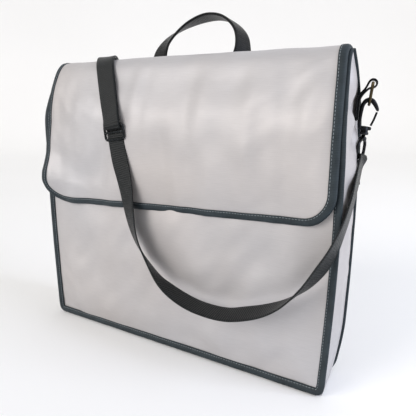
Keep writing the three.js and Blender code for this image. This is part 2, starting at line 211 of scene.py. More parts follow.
def frames_of(rows, closed=False):
    """The points, across and outward directions of rows of (point, outward normal)."""
    points, normals = rows[:, :3], rows[:, 3:6]
    if closed:
        tangents = unit(np.roll(points, -1, 0) - np.roll(points, 1, 0))
    else:
        tangents = unit(np.gradient(points, axis=0))
    out = unit(normals - (normals * tangents).sum(1, keepdims=True) * tangents)
    return points, np.cross(out, tangents), out


def sweep(name, rows, section, material, closed=False):
    """A solid whose section of (across, out) points is carried along rows of (point, normal, size)."""
    rows = np.array(rows, float)
    points, across, out = frames_of(rows, closed)
    size = rows[:, 6] if rows.shape[1] > 6 else np.ones(len(rows))
    count, sides = len(points), len(section)
    shape = np.array(section, float)
    rings = (
        points[:, None]
        + size[:, None, None] * (shape[:, 0, None] * across[:, None] + shape[:, 1, None] * out[:, None]))
    run = np.concatenate([[0], np.cumsum(np.linalg.norm(np.diff(points, axis=0), axis=1))])
    edge = np.linalg.norm(np.diff(np.vstack([shape, shape[:1]]), axis=0), axis=1)
    round_it = np.concatenate([[0], np.cumsum(edge)])
    faces, uvs = [], []
    last = count if closed else count - 1
    for i in range(last):
        j = (i + 1) % count
        run_j = run[i + 1] if i + 1 < count else run[-1] + np.linalg.norm(points[0] - points[-1])
        for k in range(sides):
            m = (k + 1) % sides
            faces.append((i * sides + k, i * sides + m, j * sides + m, j * sides + k))
            uvs.append(
                ((round_it[k], run[i]), (round_it[k + 1], run[i]), (round_it[k + 1], run_j), (round_it[k], run_j)))
    if not closed:
        faces.append(tuple(reversed(range(sides))))
        faces.append(tuple((count - 1) * sides + k for k in range(sides)))
        uvs += [[tuple(c) for c in shape[::-1]], [tuple(c) for c in shape]]
    return mesh_piece(name, rings.reshape(-1, 3), faces, [material], uvs)


def flat_section(width, thick, steps=8):
    """A flat band's section with round edges, anticlockwise with its outer face up."""
    r = thick / 2
    half = width / 2 - r
    turn = [math.radians(a) for a in (-90, -54, -18, 18, 54, 90)]
    right = [(half + r * math.cos(a), r * math.sin(a)) for a in turn]
    top = [(half - 2 * half * i / steps, r) for i in range(1, steps)]
    left = [(-x, -z) for x, z in right]
    return right + top + left + [(-x, -z) for x, z in top]


WEB_WIDTH = 25
WEB_THICK = 1.8
SLING_WEBBING = nylon_webbing("sling nylon webbing", "#060607", "#26292a", 0.36)

# The single stretch: (point, outward normal). The webbing turns on edge as it leaves the flap, hangs
# with its face level at the lowest point, and lies flat to the gusset as it nears the hook.
hanging = [
    (-69.6, -54.4, 287.0, 0, -1, 0), (-68.3, -57.2, 279.6, 0, -1, 0), (-67.3, -53.1, 273.5, 0, -1, 0),
    (-66.2, -52.9, 265.0, 0, -1, 0), (-64.2, -53.2, 253.0, 0, -1, 0.02), (-59.6, -54.6, 236, 0, -1, 0.05),
    (-54.3, -56.0, 220, -0.08, -1, 0), (-49.8, -57.2, 204, -0.18, -1, -0.05),
    (-46, -58.8, 188, -0.3, -1, -0.1), (-41.5, -61, 171, -0.42, -0.95, -0.16),
    (-36, -62.7, 154, -0.55, -0.9, -0.25), (-27, -64.7, 138, -0.6, -0.78, -0.36),
    (-12.5, -67.2, 121.5, -0.6, -0.6, -0.52), (4, -69.2, 105, -0.5, -0.36, -0.68),
    (20, -70.5, 95, -0.38, -0.12, -0.85), (38, -71.5, 87.5, -0.22, 0.02, -0.95),
    (58, -72.2, 82.5, -0.08, 0.09, -1), (80, -72.5, 80.8, 0, 0.14, -1), (99, -72.5, 82, 0.12, 0.2, -1),
    (117, -72.2, 86.7, 0.25, 0.28, -0.93), (142, -72.2, 96.4, 0.4, 0.22, -0.85),
    (164, -71.2, 109.5, 0.58, 0.05, -0.75), (184, -68.7, 128.5, 0.76, -0.2, -0.55),
    (198, -63.7, 149, 0.92, -0.28, -0.25), (207, -55.7, 168.5, 0.97, -0.1, -0.1),
    (211.5, -42.2, 188, 0.97, 0.12, 0), (213, -25.2, 208, 0.97, 0.21, 0.05),
    (212.3, -8.2, 226, 0.97, 0.22, 0.1), (211.2, 5.5, 239.5, 0.97, 0.2, 0.1),
    (210.9, 12.2, 247, 0.98, 0.15, 0.1), (209.8, 15, 251.2, 0.7, 0.1, 0.7), (207.6, 16, 252.7, 0, 0, 1),
    (205.4, 15, 250.8, -0.8, -0.1, 0.6), (205.2, 12, 246.5, -1, 0, 0.1), (207.4, 5.5, 239, -1, 0, -0.2),
    (209.6, -2, 231, -1, 0.05, -0.2),
]
front_rows = through(hanging, 1.3)
strap_front = sweep("sling_front_run", front_rows, flat_section(WEB_WIDTH, WEB_THICK), SLING_WEBBING)

# The doubled stretch, from the left hook's eye up the back, over the ridge and down to the slider.
doubled = [
    (-208.6, 14.0, 246.5, -1, 0, 0.1), (-211.3, 18.8, 236.5, -0.98, 0.2, 0.1),
    (-212.6, 26.0, 230.3, -0.8, 0.6, -0.3), (-207.5, 35.5, 229.6, -0.45, 0.85, -0.45),
    (-197, 39.9, 236.5, -0.2, 0.97, -0.2), (-181, 39.6, 253, -0.05, 1, 0), (-165, 37.2, 278, 0, 1, 0.1),
    (-151, 33.9, 308, 0, 0.95, 0.3), (-138.5, 24.6, 336, 0, 0.85, 0.5), (-127, 11.8, 354.5, 0, 0.6, 0.8),
    (-119, -2.0, 362.0, 0, 0.1, 1), (-112.5, -13.5, 361.2, 0, -0.4, 0.9), (-104, -25.5, 353.2, 0, -0.8, 0.6),
    (-93.5, -35.7, 334, 0, -0.92, 0.4), (-82.5, -45, 310.5, 0, -0.96, 0.3), (-75, -51.2, 295.5, 0, -1, 0.15),
    (-70.6, -55.3, 286.5, 0, -1, 0), (-68.3, -57.6, 279.6, 0, -1, 0), (-67.5, -55.9, 275.2, 0, -1, 0),
]
rear_rows = through(doubled, 1.3)
over_section = [(a, b + WEB_THICK / 2) for a, b in flat_section(WEB_WIDTH, WEB_THICK)]
strap_rear = sweep("sling_rear_run", rear_rows, over_section, SLING_WEBBING)
under_section = [(a, b - WEB_THICK / 2) for a, b in flat_section(WEB_WIDTH, WEB_THICK)]
under_layer = sweep("sling_rear_under", rear_rows, under_section, SLING_WEBBING)


def joined(name, *pieces):
    """Several pieces made one, keeping their maps and materials."""
    whole = bmesh.new()
    materials = []
    for piece in pieces:
        slots = [m for m in piece.data.materials]
        for m in slots:
            if m not in materials:
                materials.append(m)
        for polygon in piece.data.polygons:
            polygon.material_index = materials.index(slots[polygon.material_index])
        whole.from_mesh(piece.data)
    mesh = bpy.data.meshes.new(name)
    whole.to_mesh(mesh)
    whole.free()
    for m in materials:
        mesh.materials.append(m)
    for piece in pieces:
        bpy.data.objects.remove(piece)
    made = bpy.data.objects.new(name, mesh)
    bpy.context.scene.collection.objects.link(made)
    return made


strap_rear = joined("sling_rear_run", strap_rear, under_layer)


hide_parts("sling_over_flap", "sling_back_run", "sling_slider_weave")
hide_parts("sling_lower_loop")
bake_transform(strap_rear)
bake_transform(strap_front)


# ---- Slider ----
# A tri-glide of black lacquered steel that sets the sling's length. The webbing goes over its top bar
# and behind the other two. Its bars and other convex spots carry a painted highlight.
def lacquered_wire(name, base, highlight_and_mark_tone, roughness):
    """Plated or lacquered steel wire: convex spots painted lighter as a highlight, over small marks."""
    material, tree, shader = surface(name, Metallic=1.0, Roughness=roughness)
    place = add_node(tree, "ShaderNodeTexCoord").outputs["Object"]
    marks = grain(tree, place, 3.5, 5)
    # Painted highlight: convex spots, found by pointiness, get the lighter base colour.
    edges = add_node(tree, "ShaderNodeNewGeometry").outputs["Pointiness"]
    painted_highlight = add_node(tree, "ShaderNodeMapRange", {"Value": edges, "From Min": 0.5, "From Max": 0.62}).outputs[0]
    factor = sum_of(tree, painted_highlight, marks, 0.35)
    tree.links.new(between(tree, factor, base, highlight_and_mark_tone), shader.inputs["Base Color"])
    rough = add_node(
        tree, "ShaderNodeMapRange", {"Value": marks, "To Min": roughness - 0.08, "To Max": roughness + 0.12})
    tree.links.new(rough.outputs[0], shader.inputs["Roughness"])
    raise_by(tree, shader, grain(tree, place, 1.2, 4), 0.03, 0.5)
    return material


def round_section(radius, sides=14, flat=1.0):
    """A round or flattened wire's section."""
    turn = 2 * math.pi / sides
    return [(radius * math.cos(i * turn), radius * flat * math.sin(i * turn)) for i in range(sides)]


# The second colour is the painted highlight on convex spots, and the tone of small random marks.
SLIDER_METAL = lacquered_wire("black lacquered steel wire", "#08080a", "#3a3d3f", 0.25)
low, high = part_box("sling_slider")
slider_middle = np.array((low + high) / 2) / MM
SLIDER_SLANT = math.radians(8)
down = np.array([math.sin(SLIDER_SLANT), 0, -math.cos(SLIDER_SLANT)])
side = np.array([math.cos(SLIDER_SLANT), 0, math.sin(SLIDER_SLANT)])


def on_slider(a, b, out=0.0):
    """A point a across and b up the slider's plate, with the plate's outward normal."""
    return (*(slider_middle + a * side - b * down + np.array([0, -out, 0])), 0, -1, 0)


def rounded_loop(half_a, half_b, radius, place, steps=6):
    """A closed rounded rectangle of rows placed by a function of (a, b)."""
    rows = []
    for corner_a, corner_b, start in ((1, 1, 0), (-1, 1, 90), (-1, -1, 180), (1, -1, 270)):
        for i in range(steps + 1):
            angle = math.radians(start + 90 * i / steps)
            rows.append(place(
                corner_a * (half_a - radius) + radius * math.cos(angle),
                corner_b * (half_b - radius) + radius * math.sin(angle)))
    return rows


FRAME_WIRE = 1.7
outer_loop = rounded_loop(16.5 - FRAME_WIRE, 10.5 - FRAME_WIRE, 3.5, on_slider)
slider_frame = sweep("slider_frame", outer_loop, round_section(FRAME_WIRE, flat=0.75), SLIDER_METAL, closed=True)
bar_rows = [on_slider(a, 0) for a in np.linspace(-15.2, 15.2, 9)]
slider_bar = sweep("slider_bar", bar_rows, round_section(1.6, flat=0.8), SLIDER_METAL)
slider = joined("slider_buckle", slider_frame, slider_bar)
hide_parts("sling_slider")
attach(slider, "slider")


# ---- Bag body ----
# The front, back, gussets and bottom are one laminate of silver fire-resistant cloth, insulating felt and
# lining, sewn together at bound seams. It puffs between its seams and crumples round the hardware.
def satin_cloth(name):
    """Aluminised woven cloth: fine cross ribs under a satin metal coating, which gives broad soft highlights."""
    material, tree, shader = surface(
        name, Metallic=0.25, Roughness=0.5, Sheen_Weight=0.03, Sheen_Roughness=0.4, Sheen_Tint=colour("#f2f0f4"))
    place = woven_map(tree)
    solid = add_node(tree, "ShaderNodeTexCoord").outputs["Object"]
    picks = ribs(tree, place, 1.9, "Y", 0.5)  # picks are 0.6 mm apart; drawn coarser so that they show
    slubs = grain(tree, place, 1.6, 3, stretch=(9, 1, 1))
    cloudy = grain(tree, solid, 70, 2)
    tint = grain(tree, solid, 160, 1)
    base = between(tree, cloudy, "#b9b7b6", "#c9c8c8")
    warm = mixed(tree, tint, colour("#faf3ef"), colour("#f1f4fb"))
    body = mixed(tree, 1.0, base, warm, "MULTIPLY")
    threads = sum_of(tree, slubs, picks, 0.22)
    fleck = add_node(
        tree, "ShaderNodeMapRange",
        {"Value": threads, "From Min": 0.3, "From Max": 0.9, "To Min": 0.93}).outputs[0]
    grey = add_node(tree, "ShaderNodeCombineColor", {0: fleck, 1: fleck, 2: fleck}).outputs[0]
    tree.links.new(mixed(tree, 1.0, body, grey, "MULTIPLY"), shader.inputs["Base Color"])
    raise_by(tree, shader, threads, 0.07, 0.4)
    return material


def plain_cloth(name, dark, light, roughness, pitch):
    """Plain-woven cloth: equal ribs both ways."""
    material, tree, shader = surface(name, Roughness=roughness, Sheen_Weight=0.2)
    place = woven_map(tree)
    weave = sum_of(tree, ribs(tree, place, pitch, "X"), ribs(tree, place, pitch, "Y"), 1.0)
    shade = add_node(tree, "ShaderNodeMapRange", {"Value": weave, "From Max": 2.0}).outputs[0]
    tree.links.new(between(tree, shade, dark, light), shader.inputs["Base Color"])
    raise_by(tree, shader, weave, 0.15, 0.6)
    return material


SILVER_CLOTH = satin_cloth("aluminised satin cloth")
LINING_CLOTH = plain_cloth("fire-resistant lining cloth", "#8f8f94", "#b9b9bd", 0.6, 1.6)

front_lo, front_hi = (np.array(c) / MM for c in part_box("front_panel"))
back_hi = np.array(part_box("back_panel")[1]) / MM
SEAM_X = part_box("right_gusset")[1].x / MM - 0.6
FRONT_Y = front_lo[1]
BACK_Y = back_hi[1]
MOUTH_Z = front_hi[2]
TOP_Z = back_hi[2]
LAMINATE = 4.2

# Side profiles as (y, z) from the floor up: the front edge to the mouth, the gusset's free top edge, and
# the back edge, which curves in at the foot and over at the shoulder.
FRONT_EDGE = [
    (FRONT_Y, 0.3), (FRONT_Y - 1.2, 60), (FRONT_Y - 1.8, 150), (FRONT_Y - 0.6, 240), (FRONT_Y, 283),
    (FRONT_Y + 6.6, 306), (FRONT_Y + 18.3, MOUTH_Z),
]
FREE_EDGE = [(FRONT_Y + 18.3, MOUTH_Z), (FRONT_Y + 25.5, 344.5), (FRONT_Y + 34, TOP_Z - 1.5)]
BACK_EDGE = [
    (BACK_Y - 18, 0.3), (BACK_Y - 9.5, 22), (BACK_Y - 4, 48), (BACK_Y - 0.6, 108), (BACK_Y, 200),
    (BACK_Y - 0.5, 282), (BACK_Y - 5.5, 310), (BACK_Y - 14.5, 336), (BACK_Y - 28, TOP_Z),
]
UNDER_FLAP = 150  # the front is held flatter and flatter above this height
ROWS_TO_MOUTH = 50
ROWS_ABOVE = 4
COLUMNS = 60
GUSSET_COLUMNS = 16


def edge_points(profile, count):
    """count + 1 points (y, z) spaced evenly along a smooth side profile."""
    rows = through([(y, z, 0) for y, z in profile], 1.0)
    run = np.linspace(0, len(rows) - 1, count + 1)
    return np.stack([np.interp(run, np.arange(len(rows)), rows[:, k]) for k in (0, 1)], axis=1)


front_edge = np.vstack([edge_points(FRONT_EDGE, ROWS_TO_MOUTH), edge_points(FREE_EDGE, ROWS_ABOVE)[1:]])
back_edge = edge_points(BACK_EDGE, ROWS_TO_MOUTH + ROWS_ABOVE)


# How far the right-hand seams bulge past a straight side, by height.
RIGHT_BULGE = [(0, 0), (50, 2.5), (110, 4.8), (180, 6.2), (250, 5.8), (300, 4.2), (335, 1.5), (356, 0)]


def seam_x(z, side, back=False):
    """Half the bag's width at that height: narrower at the back's foot, drawn in at the top."""
    drawn = 1.2 * math.sin(math.pi * min(z / TOP_Z, 1)) - 2.2 * max(0, z / TOP_Z - 0.8) / 0.2
    foot = 5.0 * max(0, 1 - z / 60) ** 1.5 if back else 0.0
    bulge = float(np.interp(z, *zip(*RIGHT_BULGE))) if side > 0 else 0.0
    return SEAM_X + drawn - foot + bulge * (0.3 if back else 1.0)


def seam_point(edge, row, side, back=False):
    y, z = edge[row]
    return np.array([side * seam_x(z, side, back), y, z])


def panel(left, right, rows, columns, bulge):
    """A grid between two seams, as rows of points that bulge out along a direction between them."""
    grid = []
    for r in rows:
        a, b = left(r), right(r)
        grid.append([a + (b - a) * c / columns + bulge(c / columns, r) for c in range(columns + 1)])
    return grid


shell_points, shell_faces, shell_uvs, sewn = [], [], [], set()


def add_panel(grid, map_point, flip=False):
    """Adds a grid to the shell, with its border sewn. map_point gives each point's place on the cloth."""
    start, wide = len(shell_points), len(grid[0])
    for i, row in enumerate(grid):
        for j, point in enumerate(row):
            if i in (0, len(grid) - 1) or j in (0, wide - 1):
                sewn.add(tuple(round(float(c), 3) for c in point))
            shell_points.append(point)
    for i in range(len(grid) - 1):
        for j in range(wide - 1):
            quad = [(i, j), (i, j + 1), (i + 1, j + 1), (i + 1, j)]
            if flip:
                quad.reverse()
            shell_faces.append([start + a * wide + b for a, b in quad])
            shell_uvs.append([map_point(grid[a][b]) for a, b in quad])


def no_bulge(u, r):
    return np.zeros(3)


TAB_PLACE = np.array([7.8, 298.0])  # y and z of the middle of the patch that each tab is sewn on


def gusset_shape(side):
    """The gusset's hollows: it is drawn in along its middle and held flat where the tab is sewn to it."""
    def bulge(u, r):
        a, b = seam_point(front_edge, r, side), seam_point(back_edge, r, side, True)
        x, y, z = a + (b - a) * u
        mid = math.sin(math.pi * u)
        fold = -2.6 * mid * math.exp(-(((z - 60) / 45) ** 2)) + 1.6 * mid * math.exp(-(((z - 215) / 45) ** 2))
        held = math.exp(-(((y - TAB_PLACE[0]) / 17) ** 2) - ((z - TAB_PLACE[1]) / 26) ** 2)
        flat = SEAM_X - 0.3 - side * x
        angle = math.atan2(z - TAB_PLACE[1], y - TAB_PLACE[0])
        away = math.hypot(z - TAB_PLACE[1], (y - TAB_PLACE[0]) * 1.3)
        pleats = 4.4 * mid * math.cos(5 * angle + 0.9) * math.exp(-(((away - 30) / 16) ** 2))
        creases = 3.6 * mid * noise.noise(Vector((y / 13, z / 26, 3.7 * side))) + 4.5 * mid * math.exp(
            -(((z - 331) / 15) ** 2))
        return np.array([side * ((fold + creases + pleats) * (1 - held) + flat * held * mid**0.3), 0, 0])
    return bulge


to_mouth = range(ROWS_TO_MOUTH + 1)
to_top = range(ROWS_TO_MOUTH + ROWS_ABOVE + 1)
def front_shape(u, r):
    """The front's slack: soft folds that run down and across it, fading towards its seams."""
    x, z = (u * 2 - 1) * SEAM_X, front_edge[r][1]
    fade = ease(min(u, 1 - u) * 9) * ease(z / 30) * (1 - 0.7 * ease((z - UNDER_FLAP) / 60))
    folds = 4.4 * noise.noise(Vector(((x + 0.45 * z) / 44, (z - 0.3 * x) / 120, 0.6)))
    small = 2.0 * noise.noise(Vector(((x - 0.6 * z) / 21, z / 34, 5.2)))
    return np.array([0, -(folds + small) * fade, 0])


add_panel(
    panel(
        lambda r: seam_point(front_edge, r, -1), lambda r: seam_point(front_edge, r, 1),
        to_mouth, COLUMNS, front_shape),
    lambda p: (p[0], p[2]))
add_panel(
    panel(
        lambda r: seam_point(back_edge, r, -1, True), lambda r: seam_point(back_edge, r, 1, True),
        to_top, COLUMNS, no_bulge),
    lambda p: (p[0], p[2]), flip=True)


for side_x in (-1, 1):
    add_panel(
        panel(
            lambda r: seam_point(front_edge, r, side_x), lambda r: seam_point(back_edge, r, side_x, True),
            to_top, GUSSET_COLUMNS, gusset_shape(side_x)),
        lambda p: (p[1], p[2]), flip=side_x < 0)
add_panel(
    [
        [
            seam_point(front_edge, 0, -1) * (1 - t) + seam_point(back_edge, 0, -1, True) * t
            + (seam_point(front_edge, 0, 1) - seam_point(front_edge, 0, -1)) * (1 - t) * c / COLUMNS
            + (seam_point(back_edge, 0, 1, True) - seam_point(back_edge, 0, -1, True)) * t * c / COLUMNS
            for c in range(COLUMNS + 1)
        ]
        for t in np.linspace(0, 1, GUSSET_COLUMNS + 1)
    ],
    lambda p: (p[0], p[1]), flip=True)
shell = mesh_piece("bag_shell", shell_points, shell_faces, [SILVER_CLOTH, LINING_CLOTH], shell_uvs)


def weld(piece):
    """Merges the points that the panels share at their seams."""
    whole = bmesh.new()
    whole.from_mesh(piece.data)
    bmesh.ops.remove_doubles(whole, verts=whole.verts, dist=0.02 * MM)
    whole.to_mesh(piece.data)
    whole.free()


weld(shell)


def settle(piece, pinned, pressure, spare, frames, limit):
    """Lets the cloth hang between its pinned points as padded fabric with some spare length, and keeps
    each point's move within what limit says of it. The result is written to the mesh."""
    rest = np.array([v.co for v in piece.data.vertices])
    group = piece.vertex_groups.new(name="sewn")
    group.add(pinned, 1.0, "REPLACE")
    cloth = piece.modifiers.new("cloth", "CLOTH")
    cloth.settings.quality = 6
    cloth.settings.mass = 0.25
    cloth.settings.tension_stiffness = 20
    cloth.settings.compression_stiffness = 20
    cloth.settings.shear_stiffness = 8
    cloth.settings.bending_stiffness = 1.5
    cloth.settings.air_damping = 2
    cloth.settings.vertex_group_mass = "sewn"
    cloth.settings.shrink_min = -spare
    cloth.settings.shrink_max = -spare
    cloth.settings.use_pressure = pressure > 0
    cloth.settings.uniform_pressure_force = pressure
    cloth.settings.effector_weights.gravity = 0.1
    cloth.collision_settings.use_collision = False
    cloth.point_cache.frame_end = frames
    for number in range(1, frames + 1):
        bpy.context.scene.frame_set(number)
    settled = piece.evaluated_get(bpy.context.evaluated_depsgraph_get()).to_mesh()
    moved = np.array([v.co for v in settled.vertices])
    piece.modifiers.remove(cloth)
    piece.vertex_groups.clear()
    moved = limit(rest, moved)
    piece.data.vertices.foreach_set("co", moved.astype(np.float32).ravel())
    piece.data.update()
    bpy.context.scene.frame_set(1)


def from_border(piece, border):
    """Each point's distance from the nearest sewn point, in millimetres."""
    points = np.array([tuple(v.co) for v in piece.data.vertices]) / MM
    edge = points[border]
    return np.array([math.sqrt(((edge - p) ** 2).sum(1).min()) for p in points])


def roughen(piece, size, strength, seed, away):
    """Moves points along their normals by smooth noise, less near the seams, so that no two folds are alike."""
    points = np.array([tuple(v.co) for v in piece.data.vertices])
    normals = np.array([tuple(v.normal) for v in piece.data.vertices])
    shift = [
        noise.noise(Vector(p / (size * MM)) + Vector((seed, 2 * seed, 3 * seed))) * ease((d - 3) / 25)
        for p, d in zip(points, away)]
    points += normals * np.array(shift)[:, None] * strength * MM
    piece.data.vertices.foreach_set("co", points.astype(np.float32).ravel())
    piece.data.update()


BOTTOM_Z = 0.3
pinned = [
    v.index for v in shell.data.vertices
    if tuple(round(c / MM, 3) for c in v.co) in sewn or abs(v.co[2] / MM - BOTTOM_Z) < 0.02
]
shell_away = from_border(shell, pinned)
roughen(shell, 46, 2.2, 3.1, shell_away)
PUFF = 5  # the furthest that the padding lifts the cloth between its seams


def shell_limit(rest, moved):
    """The walls puff between their seams, the front stays behind the flap, and the tabs' patches stay flat."""
    room = np.array([0.3 + PUFF * ease((d - 4) / 40) for d in shell_away]) * MM
    shift = moved - rest
    y, z = rest[:, 1] / MM, rest[:, 2] / MM
    front = (y < FRONT_Y + 22) & (np.abs(rest[:, 0]) < (SEAM_X - 4) * MM)
    held = np.array([ease((h - UNDER_FLAP) / 60) for h in z]) * front
    room = room * (1 - held) + np.minimum(room, 0.8 * MM) * held
    size = np.linalg.norm(shift, axis=1)
    kept = rest + shift * (np.tanh(size / np.maximum(room, 1e-9)) * room / np.maximum(size, 1e-9))[:, None]
    patch = (np.abs(y - TAB_PLACE[0]) < 15) & (np.abs(z - TAB_PLACE[1]) < 18) & (np.abs(rest[:, 0]) > 0.19)
    kept[patch, 0] = np.sign(rest[patch, 0]) * np.minimum(np.abs(kept[patch, 0]), (SEAM_X - 0.1) * MM)
    return kept


settle(shell, pinned, 1.6, 0.012, 22, shell_limit)
smooth = shell.modifiers.new("round", "SUBSURF")
smooth.levels = smooth.render_levels = 1
wall = shell.modifiers.new("laminate", "SOLIDIFY")
wall.thickness = LAMINATE * MM
wall.offset = -1
wall.material_offset = 1
wall.material_offset_rim = 0
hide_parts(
    "front_panel", "back_panel", "bottom_panel", "left_gusset", "right_gusset", "front_padding",
    "back_padding", "bottom_padding", "left_gusset_padding", "right_gusset_padding", "lining")
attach(shell, "bag")


# ---- Binding tape and stitching ----
# Slate polyester tape, 22 mm wide and folded to 8.5 mm, lies over both seams round the gussets and over
# the mouth's edge. It is topstitched along its inner edge in grey thread.
def tape_finish():
    """Ribbed polyester tape: fine cross ribs over soft patches of lighter and darker tone."""
    material, tree, shader = surface(
        "slate binding tape", Roughness=0.62, Sheen_Weight=0.06, Sheen_Roughness=0.4,
        Sheen_Tint=colour("#9aa6ad"), Specular_IOR_Level=0.3)
    place = woven_map(tree)
    cross = ribs(tree, place, 1.5, "Y", 0.4)
    patches = grain(tree, place, 18, 4)
    shade = sum_of(tree, patches, cross, 0.35)
    spread = add_node(tree, "ShaderNodeMapRange", {"Value": shade, "From Min": 0.3, "From Max": 1.1}).outputs[0]
    tree.links.new(between(tree, spread, "#182024", "#333d43"), shader.inputs["Base Color"])
    raise_by(tree, shader, cross, 0.12, 0.6)
    return material


def thread_finish():
    material, tree, shader = surface("grey bonded nylon thread", Roughness=0.5)
    place = add_node(tree, "ShaderNodeTexCoord").outputs["Object"]
    tree.links.new(between(tree, grain(tree, place, 5, 2), "#5f676c", "#8b9397"), shader.inputs["Base Color"])
    return material


def stitch_line_tree():
    """Stitches laid end to end along a line: short rounded threads, each a little apart from the next."""
    tree = bpy.data.node_groups.new("stitch_line", "GeometryNodeTree")
    face = tree.interface
    face.new_socket("Line", in_out="INPUT", socket_type="NodeSocketGeometry")
    for label in ("Pitch", "Length", "Thread"):
        face.new_socket(label, in_out="INPUT", socket_type="NodeSocketFloat")
    face.new_socket("Finish", in_out="INPUT", socket_type="NodeSocketMaterial")
    face.new_socket("Stitches", in_out="OUTPUT", socket_type="NodeSocketGeometry")
    given = add_node(tree, "NodeGroupInput").outputs
    curve = add_node(tree, "GeometryNodeMeshToCurve", {"Mesh": given["Line"]}).outputs[0]
    spaced = add_node(
        tree, "GeometryNodeResampleCurve", {"Curve": curve, "Length": given["Pitch"]}, mode="LENGTH").outputs[0]
    along = add_node(tree, "GeometryNodeInputTangent").outputs[0]
    turn = add_node(tree, "FunctionNodeAlignRotationToVector", {"Vector": along}, axis="Z").outputs[0]
    size = add_node(
        tree, "ShaderNodeCombineXYZ", {0: given["Thread"], 1: given["Thread"], 2: given["Length"]}).outputs[0]
    ball = add_node(tree, "GeometryNodeMeshUVSphere", {"Segments": 6, "Rings": 5, "Radius": 0.5}).outputs[0]
    placed = add_node(
        tree, "GeometryNodeInstanceOnPoints",
        {"Points": spaced, "Instance": ball, "Rotation": turn, "Scale": size})
    whole = add_node(tree, "GeometryNodeRealizeInstances", {"Geometry": placed.outputs[0]}).outputs[0]
    done = add_node(tree, "GeometryNodeSetMaterial", {"Geometry": whole, "Material": given["Finish"]}).outputs[0]
    add_node(tree, "NodeGroupOutput", {"Stitches": done})
    return tree


TAPE_FINISH = tape_finish()
THREAD_FINISH = thread_finish()
STITCH_TREE = stitch_line_tree()


def stitches(name, lines, body, pitch=3.4, length=2.7, thread=0.75):
    """One mesh of stitches along several lines of points."""
    points, edges = [], []
    for line in lines:
        start = len(points)
        points += [[float(c) * MM for c in p[:3]] for p in line]
        edges += [(start + i, start + i + 1) for i in range(len(line) - 1)]
    mesh = bpy.data.meshes.new(name)
    mesh.from_pydata(points, edges, [])
    guide = bpy.data.objects.new(name + "_line", mesh)
    bpy.context.scene.collection.objects.link(guide)
    maker = guide.modifiers.new("stitches", "NODES")
    maker.node_group = STITCH_TREE
    values = {"Pitch": pitch * MM, "Length": length * MM, "Thread": thread * MM, "Finish": THREAD_FINISH}
    for item in STITCH_TREE.interface.items_tree:
        if item.in_out == "INPUT" and item.name in values:
            maker[item.identifier] = values[item.name]
    made = bpy.data.meshes.new_from_object(guide.evaluated_get(bpy.context.evaluated_depsgraph_get()))
    guide.modifiers.clear()
    bpy.data.objects.remove(guide)
    made.polygons.foreach_set("use_smooth", [True] * len(made.polygons))
    piece = bpy.data.objects.new(name, made)
    bpy.context.scene.collection.objects.link(piece)
    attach(piece, body)
    return piece


def shifted(rows, across, out):
    """The line that runs across and out millimetres from rows of (point, normal)."""
    points, sideways, outward = frames_of(np.array(rows, float))
    return points + across * sideways + out * outward


def wander(rows, seed, amount=0.3):
    """The rows with a slow drift along their normals, as in sewing done by hand and eye."""
    rows = np.array(rows, float)
    drift = np.array([noise.noise(Vector((*(p[:3] / 24),)) + Vector((seed, 0, 0))) for p in rows])
    rows[:, :3] += drift[:, None] * amount * rows[:, 3:6]
    return rows


SEAM_TAPE = [
    (4.25, -1.5), (4.3, -0.7), (3.7, -0.05), (2.7, -0.1), (1.6, 0.9), (0, 1.35), (-1.8, 1.4), (-3.2, 1.1),
    (-4.1, 0.4), (-4.35, -0.5), (-3.9, -1.3), (-2.6, -1.7), (0, -1.8), (2.6, -1.7),
]
TAPE_HALF = 4.25
TAPE_CORNER = 5
STITCH_ACROSS = 2.7


def edge_normals(edge, forward):
    """The direction (y, z) away from the bag at each point of a side profile."""
    along = unit(np.gradient(edge, axis=0))
    return np.stack([-along[:, 1], along[:, 0]], axis=1) * (1 if forward else -1)


def seam_rows(edge, forward):
    """A seam tape's middle line: down one side, along the bottom and up the other."""
    normals = edge_normals(edge, forward)
    first = -1 if forward else 1
    proud = 1.9
    inset = TAPE_HALF - 2.1
    low = TAPE_HALF + 0.2
    sides = []
    for side_x in (first, -first):
        rows = []
        for (y, z), (ny, nz) in zip(edge, normals):
            if z > low + TAPE_CORNER:
                rows.append((
                    side_x * (seam_x(z, side_x, not forward) - inset),
                    y + proud * ny, z + proud * nz, 0, ny, nz))
        sides.append(rows)
    ny, nz = normals[1]
    y = edge[0][0] + proud * ny
    reach = seam_x(0, -1, not forward) - inset - TAPE_CORNER
    rows = sides[0][::-1]
    for turn in (15, 35, 55, 75):
        a = math.radians(turn)
        rows.append((
            first * (reach + TAPE_CORNER * math.cos(a)), y, low + TAPE_CORNER * (1 - math.sin(a)), 0, ny, 0))
    rows += [(x, y, low, 0, ny, 0) for x in np.linspace(first * reach, -first * reach, 30)]
    for turn in (75, 55, 35, 15):
        a = math.radians(turn)
        rows.append((
            -first * (reach + TAPE_CORNER * math.cos(a)), y, low + TAPE_CORNER * (1 - math.sin(a)), 0, ny, 0))
    return through(rows + sides[1], 2.2)


for name, edge, forward, seed in (
        ("front_seam", front_edge, True, 1.7), ("back_seam", back_edge, False, 5.3)):
    rows = wander(seam_rows(edge, forward), seed)
    tape = sweep(name + "_tape", rows, SEAM_TAPE, TAPE_FINISH)
    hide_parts(name + "_binding")
    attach(tape, "bag")
    stitches(name + "_stitches", [shifted(rows, STITCH_ACROSS, 0.15)], "bag")

